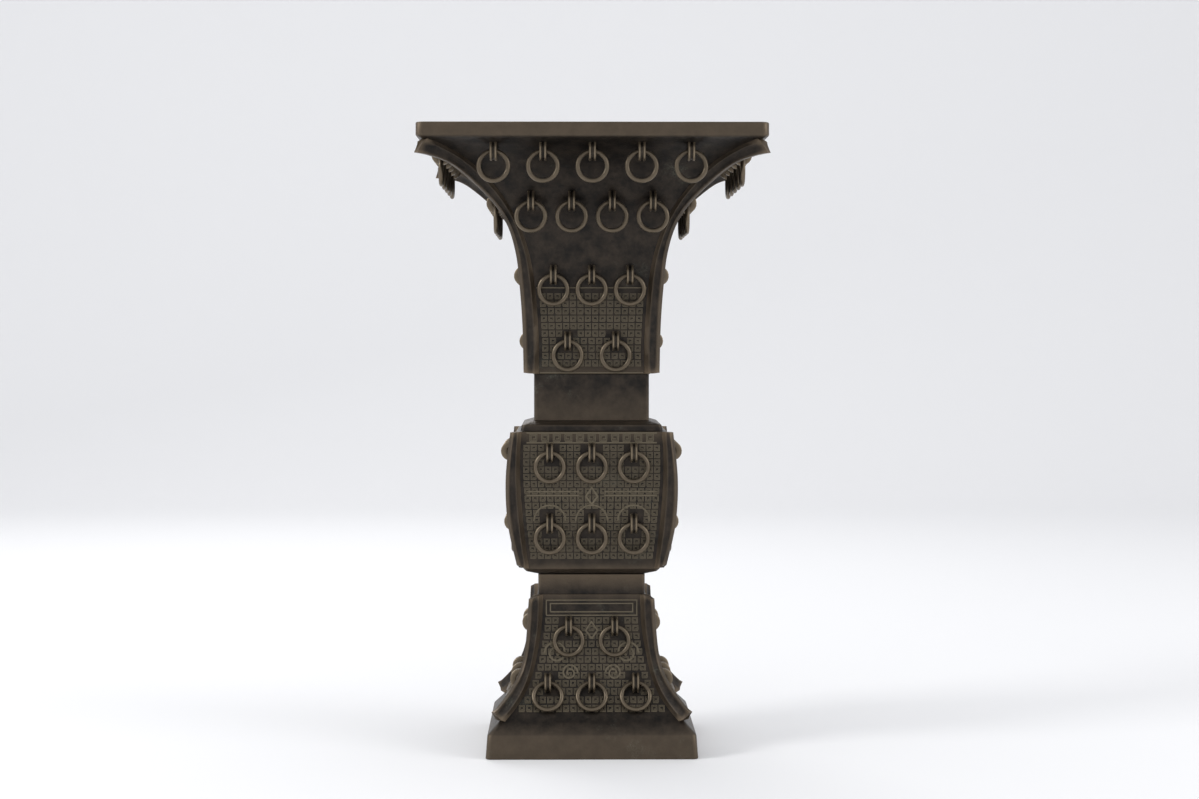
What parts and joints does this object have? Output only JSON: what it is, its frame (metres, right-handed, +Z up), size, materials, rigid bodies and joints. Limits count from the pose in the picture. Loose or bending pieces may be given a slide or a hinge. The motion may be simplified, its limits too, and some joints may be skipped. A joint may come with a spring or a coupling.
{
  "type": "bronze vase",
  "caption": "Square archaistic bronze beaker vase with flared mouth, bulb and spreading foot, corner fins and loose rings hung in small loops on every face.",
  "frame": {"origin": "middle of the plinth's underside, on the surface that the vase stands on", "axes": "+Z up the vase's height, -Y out of the front face, +X to the right of the front face"},
  "size_m": [0.2458, 0.2458, 0.45],
  "materials": {
    "cast_bronze": "dark brown patinated bronze, worn bright on edges, grey-green dust in the recesses",
    "ring_bronze": "brown bronze rings rubbed brighter by use",
    "floor_bronze": "dark, dusty bronze inside the vessel"
  },
  "bodies": {
    "vessel": {"mouth_casting": "cast_bronze", "bulb_casting": "cast_bronze", "foot_casting": "cast_bronze", "floor_plate": "floor_bronze"},
    "ring_front_rim_1": {"ring_front_rim_1": "ring_bronze"},
    "ring_front_rim_2": {"ring_front_rim_2": "ring_bronze"},
    "ring_front_rim_3": {"ring_front_rim_3": "ring_bronze"},
    "ring_front_rim_4": {"ring_front_rim_4": "ring_bronze"},
    "ring_front_rim_5": {"ring_front_rim_5": "ring_bronze"},
    "ring_front_flare_1": {"ring_front_flare_1": "ring_bronze"},
    "ring_front_flare_2": {"ring_front_flare_2": "ring_bronze"},
    "ring_front_flare_3": {"ring_front_flare_3": "ring_bronze"},
    "ring_front_flare_4": {"ring_front_flare_4": "ring_bronze"},
    "ring_front_throat_1": {"ring_front_throat_1": "ring_bronze"},
    "ring_front_throat_2": {"ring_front_throat_2": "ring_bronze"},
    "ring_front_throat_3": {"ring_front_throat_3": "ring_bronze"},
    "ring_front_neck_1": {"ring_front_neck_1": "ring_bronze"},
    "ring_front_neck_2": {"ring_front_neck_2": "ring_bronze"},
    "ring_front_shoulder_1": {"ring_front_shoulder_1": "ring_bronze"},
    "ring_front_shoulder_2": {"ring_front_shoulder_2": "ring_bronze"},
    "ring_front_shoulder_3": {"ring_front_shoulder_3": "ring_bronze"},
    "ring_front_belly_1": {"ring_front_belly_1": "ring_bronze"},
    "ring_front_belly_2": {"ring_front_belly_2": "ring_bronze"},
    "ring_front_belly_3": {"ring_front_belly_3": "ring_bronze"},
    "ring_front_stem_1": {"ring_front_stem_1": "ring_bronze"},
    "ring_front_stem_2": {"ring_front_stem_2": "ring_bronze"},
    "ring_front_spread_1": {"ring_front_spread_1": "ring_bronze"},
    "ring_front_spread_2": {"ring_front_spread_2": "ring_bronze"},
    "ring_front_spread_3": {"ring_front_spread_3": "ring_bronze"},
    "ring_right_rim_1": {"ring_right_rim_1": "ring_bronze"},
    "ring_right_rim_2": {"ring_right_rim_2": "ring_bronze"},
    "ring_right_rim_3": {"ring_right_rim_3": "ring_bronze"},
    "ring_right_rim_4": {"ring_right_rim_4": "ring_bronze"},
    "ring_right_rim_5": {"ring_right_rim_5": "ring_bronze"},
    "ring_right_flare_1": {"ring_right_flare_1": "ring_bronze"},
    "ring_right_flare_2": {"ring_right_flare_2": "ring_bronze"},
    "ring_right_flare_3": {"ring_right_flare_3": "ring_bronze"},
    "ring_right_flare_4": {"ring_right_flare_4": "ring_bronze"},
    "ring_back_rim_1": {"ring_back_rim_1": "ring_bronze"},
    "ring_back_rim_2": {"ring_back_rim_2": "ring_bronze"},
    "ring_back_rim_3": {"ring_back_rim_3": "ring_bronze"},
    "ring_back_rim_4": {"ring_back_rim_4": "ring_bronze"},
    "ring_back_rim_5": {"ring_back_rim_5": "ring_bronze"},
    "ring_back_flare_1": {"ring_back_flare_1": "ring_bronze"},
    "ring_back_flare_2": {"ring_back_flare_2": "ring_bronze"},
    "ring_back_flare_3": {"ring_back_flare_3": "ring_bronze"},
    "ring_back_flare_4": {"ring_back_flare_4": "ring_bronze"},
    "ring_left_rim_1": {"ring_left_rim_1": "ring_bronze"},
    "ring_left_rim_2": {"ring_left_rim_2": "ring_bronze"},
    "ring_left_rim_3": {"ring_left_rim_3": "ring_bronze"},
    "ring_left_rim_4": {"ring_left_rim_4": "ring_bronze"},
    "ring_left_rim_5": {"ring_left_rim_5": "ring_bronze"},
    "ring_left_flare_1": {"ring_left_flare_1": "ring_bronze"},
    "ring_left_flare_2": {"ring_left_flare_2": "ring_bronze"},
    "ring_left_flare_3": {"ring_left_flare_3": "ring_bronze"},
    "ring_left_flare_4": {"ring_left_flare_4": "ring_bronze"}
  },
  "joints": [
    {"name": "swing_front_rim_1", "type": "hinge", "parent": "vessel", "child": "ring_front_rim_1", "pos_m": [-0.0688, -0.10757, 0.43028], "axis": [-1, 0, 0], "range_deg": [-50, 105]},
    {"name": "swing_front_rim_2", "type": "hinge", "parent": "vessel", "child": "ring_front_rim_2", "pos_m": [-0.0344, -0.10757, 0.43028], "axis": [-1, 0, 0], "range_deg": [-50, 105]},
    {"name": "swing_front_rim_3", "type": "hinge", "parent": "vessel", "child": "ring_front_rim_3", "pos_m": [0, -0.10757, 0.43028], "axis": [-1, 0, 0], "range_deg": [-50, 105]},
    {"name": "swing_front_rim_4", "type": "hinge", "parent": "vessel", "child": "ring_front_rim_4", "pos_m": [0.0344, -0.10757, 0.43028], "axis": [-1, 0, 0], "range_deg": [-50, 105]},
    {"name": "swing_front_rim_5", "type": "hinge", "parent": "vessel", "child": "ring_front_rim_5", "pos_m": [0.0688, -0.10757, 0.43028], "axis": [-1, 0, 0], "range_deg": [-50, 105]},
    {"name": "swing_front_flare_1", "type": "hinge", "parent": "vessel", "child": "ring_front_flare_1", "pos_m": [-0.0435, -0.06908, 0.39783], "axis": [-1, 0, 0], "range_deg": [-34, 105]},
    {"name": "swing_front_flare_2", "type": "hinge", "parent": "vessel", "child": "ring_front_flare_2", "pos_m": [-0.0145, -0.06908, 0.39783], "axis": [-1, 0, 0], "range_deg": [-34, 105]},
    {"name": "swing_front_flare_3", "type": "hinge", "parent": "vessel", "child": "ring_front_flare_3", "pos_m": [0.0145, -0.06908, 0.39783], "axis": [-1, 0, 0], "range_deg": [-34, 105]},
    {"name": "swing_front_flare_4", "type": "hinge", "parent": "vessel", "child": "ring_front_flare_4", "pos_m": [0.0435, -0.06908, 0.39783], "axis": [-1, 0, 0], "range_deg": [-34, 105]},
    {"name": "swing_front_throat_1", "type": "hinge", "parent": "vessel", "child": "ring_front_throat_1", "pos_m": [-0.0277, -0.04967, 0.34572], "axis": [-1, 0, 0], "range_deg": [-10, 110]},
    {"name": "swing_front_throat_2", "type": "hinge", "parent": "vessel", "child": "ring_front_throat_2", "pos_m": [0, -0.04967, 0.34572], "axis": [-1, 0, 0], "range_deg": [-10, 110]},
    {"name": "swing_front_throat_3", "type": "hinge", "parent": "vessel", "child": "ring_front_throat_3", "pos_m": [0.0277, -0.04967, 0.34572], "axis": [-1, 0, 0], "range_deg": [-10, 110]},
    {"name": "swing_front_neck_1", "type": "hinge", "parent": "vessel", "child": "ring_front_neck_1", "pos_m": [-0.0174, -0.04591, 0.29816], "axis": [-1, 0, 0], "range_deg": [-4.5, 110]},
    {"name": "swing_front_neck_2", "type": "hinge", "parent": "vessel", "child": "ring_front_neck_2", "pos_m": [0.0174, -0.04591, 0.29816], "axis": [-1, 0, 0], "range_deg": [-4.5, 110]},
    {"name": "swing_front_shoulder_1", "type": "hinge", "parent": "vessel", "child": "ring_front_shoulder_1", "pos_m": [-0.0303, -0.05901, 0.21798], "axis": [-1, 0, 0], "range_deg": [-4.5, 110]},
    {"name": "swing_front_shoulder_2", "type": "hinge", "parent": "vessel", "child": "ring_front_shoulder_2", "pos_m": [0, -0.05901, 0.21798], "axis": [-1, 0, 0], "range_deg": [-4.5, 110]},
    {"name": "swing_front_shoulder_3", "type": "hinge", "parent": "vessel", "child": "ring_front_shoulder_3", "pos_m": [0.0303, -0.05901, 0.21798], "axis": [-1, 0, 0], "range_deg": [-4.5, 110]},
    {"name": "swing_front_belly_1", "type": "hinge", "parent": "vessel", "child": "ring_front_belly_1", "pos_m": [-0.0303, -0.05679, 0.16636], "axis": [-1, 0, 0], "range_deg": [-10, 110]},
    {"name": "swing_front_belly_2", "type": "hinge", "parent": "vessel", "child": "ring_front_belly_2", "pos_m": [0, -0.05679, 0.16636], "axis": [-1, 0, 0], "range_deg": [-10, 110]},
    {"name": "swing_front_belly_3", "type": "hinge", "parent": "vessel", "child": "ring_front_belly_3", "pos_m": [0.0303, -0.05679, 0.16636], "axis": [-1, 0, 0], "range_deg": [-10, 110]},
    {"name": "swing_front_stem_1", "type": "hinge", "parent": "vessel", "child": "ring_front_stem_1", "pos_m": [-0.01675, -0.04391, 0.09047], "axis": [-1, 0, 0], "range_deg": [0, 105]},
    {"name": "swing_front_stem_2", "type": "hinge", "parent": "vessel", "child": "ring_front_stem_2", "pos_m": [0.01675, -0.04391, 0.09047], "axis": [-1, 0, 0], "range_deg": [0, 105]},
    {"name": "swing_front_spread_1", "type": "hinge", "parent": "vessel", "child": "ring_front_spread_1", "pos_m": [-0.0318, -0.0527, 0.05102], "axis": [-1, 0, 0], "range_deg": [0, 80]},
    {"name": "swing_front_spread_2", "type": "hinge", "parent": "vessel", "child": "ring_front_spread_2", "pos_m": [0, -0.0527, 0.05102], "axis": [-1, 0, 0], "range_deg": [0, 80]},
    {"name": "swing_front_spread_3", "type": "hinge", "parent": "vessel", "child": "ring_front_spread_3", "pos_m": [0.0318, -0.0527, 0.05102], "axis": [-1, 0, 0], "range_deg": [0, 80]},
    {"name": "swing_right_rim_1", "type": "hinge", "parent": "vessel", "child": "ring_right_rim_1", "pos_m": [0.10757, -0.0688, 0.43028], "axis": [0, -1, 0], "range_deg": [-50, 105]},
    {"name": "swing_right_rim_2", "type": "hinge", "parent": "vessel", "child": "ring_right_rim_2", "pos_m": [0.10757, -0.0344, 0.43028], "axis": [0, -1, 0], "range_deg": [-50, 105]},
    {"name": "swing_right_rim_3", "type": "hinge", "parent": "vessel", "child": "ring_right_rim_3", "pos_m": [0.10757, 0, 0.43028], "axis": [0, -1, 0], "range_deg": [-50, 105]},
    {"name": "swing_right_rim_4", "type": "hinge", "parent": "vessel", "child": "ring_right_rim_4", "pos_m": [0.10757, 0.0344, 0.43028], "axis": [0, -1, 0], "range_deg": [-50, 105]},
    {"name": "swing_right_rim_5", "type": "hinge", "parent": "vessel", "child": "ring_right_rim_5", "pos_m": [0.10757, 0.0688, 0.43028], "axis": [0, -1, 0], "range_deg": [-50, 105]},
    {"name": "swing_right_flare_1", "type": "hinge", "parent": "vessel", "child": "ring_right_flare_1", "pos_m": [0.06908, -0.0435, 0.39783], "axis": [0, -1, 0], "range_deg": [-34, 105]},
    {"name": "swing_right_flare_2", "type": "hinge", "parent": "vessel", "child": "ring_right_flare_2", "pos_m": [0.06908, -0.0145, 0.39783], "axis": [0, -1, 0], "range_deg": [-34, 105]},
    {"name": "swing_right_flare_3", "type": "hinge", "parent": "vessel", "child": "ring_right_flare_3", "pos_m": [0.06908, 0.0145, 0.39783], "axis": [0, -1, 0], "range_deg": [-34, 105]},
    {"name": "swing_right_flare_4", "type": "hinge", "parent": "vessel", "child": "ring_right_flare_4", "pos_m": [0.06908, 0.0435, 0.39783], "axis": [0, -1, 0], "range_deg": [-34, 105]},
    {"name": "swing_back_rim_1", "type": "hinge", "parent": "vessel", "child": "ring_back_rim_1", "pos_m": [0.0688, 0.10757, 0.43028], "axis": [1, 0, 0], "range_deg": [-50, 105]},
    {"name": "swing_back_rim_2", "type": "hinge", "parent": "vessel", "child": "ring_back_rim_2", "pos_m": [0.0344, 0.10757, 0.43028], "axis": [1, 0, 0], "range_deg": [-50, 105]},
    {"name": "swing_back_rim_3", "type": "hinge", "parent": "vessel", "child": "ring_back_rim_3", "pos_m": [0, 0.10757, 0.43028], "axis": [1, 0, 0], "range_deg": [-50, 105]},
    {"name": "swing_back_rim_4", "type": "hinge", "parent": "vessel", "child": "ring_back_rim_4", "pos_m": [-0.0344, 0.10757, 0.43028], "axis": [1, 0, 0], "range_deg": [-50, 105]},
    {"name": "swing_back_rim_5", "type": "hinge", "parent": "vessel", "child": "ring_back_rim_5", "pos_m": [-0.0688, 0.10757, 0.43028], "axis": [1, 0, 0], "range_deg": [-50, 105]},
    {"name": "swing_back_flare_1", "type": "hinge", "parent": "vessel", "child": "ring_back_flare_1", "pos_m": [0.0435, 0.06908, 0.39783], "axis": [1, 0, 0], "range_deg": [-34, 105]},
    {"name": "swing_back_flare_2", "type": "hinge", "parent": "vessel", "child": "ring_back_flare_2", "pos_m": [0.0145, 0.06908, 0.39783], "axis": [1, 0, 0], "range_deg": [-34, 105]},
    {"name": "swing_back_flare_3", "type": "hinge", "parent": "vessel", "child": "ring_back_flare_3", "pos_m": [-0.0145, 0.06908, 0.39783], "axis": [1, 0, 0], "range_deg": [-34, 105]},
    {"name": "swing_back_flare_4", "type": "hinge", "parent": "vessel", "child": "ring_back_flare_4", "pos_m": [-0.0435, 0.06908, 0.39783], "axis": [1, 0, 0], "range_deg": [-34, 105]},
    {"name": "swing_left_rim_1", "type": "hinge", "parent": "vessel", "child": "ring_left_rim_1", "pos_m": [-0.10757, 0.0688, 0.43028], "axis": [0, 1, 0], "range_deg": [-50, 105]},
    {"name": "swing_left_rim_2", "type": "hinge", "parent": "vessel", "child": "ring_left_rim_2", "pos_m": [-0.10757, 0.0344, 0.43028], "axis": [0, 1, 0], "range_deg": [-50, 105]},
    {"name": "swing_left_rim_3", "type": "hinge", "parent": "vessel", "child": "ring_left_rim_3", "pos_m": [-0.10757, 0, 0.43028], "axis": [0, 1, 0], "range_deg": [-50, 105]},
    {"name": "swing_left_rim_4", "type": "hinge", "parent": "vessel", "child": "ring_left_rim_4", "pos_m": [-0.10757, -0.0344, 0.43028], "axis": [0, 1, 0], "range_deg": [-50, 105]},
    {"name": "swing_left_rim_5", "type": "hinge", "parent": "vessel", "child": "ring_left_rim_5", "pos_m": [-0.10757, -0.0688, 0.43028], "axis": [0, 1, 0], "range_deg": [-50, 105]},
    {"name": "swing_left_flare_1", "type": "hinge", "parent": "vessel", "child": "ring_left_flare_1", "pos_m": [-0.06908, 0.0435, 0.39783], "axis": [0, 1, 0], "range_deg": [-34, 105]},
    {"name": "swing_left_flare_2", "type": "hinge", "parent": "vessel", "child": "ring_left_flare_2", "pos_m": [-0.06908, 0.0145, 0.39783], "axis": [0, 1, 0], "range_deg": [-34, 105]},
    {"name": "swing_left_flare_3", "type": "hinge", "parent": "vessel", "child": "ring_left_flare_3", "pos_m": [-0.06908, -0.0145, 0.39783], "axis": [0, 1, 0], "range_deg": [-34, 105]},
    {"name": "swing_left_flare_4", "type": "hinge", "parent": "vessel", "child": "ring_left_flare_4", "pos_m": [-0.06908, -0.0435, 0.39783], "axis": [0, 1, 0], "range_deg": [-34, 105]}
  ]
}
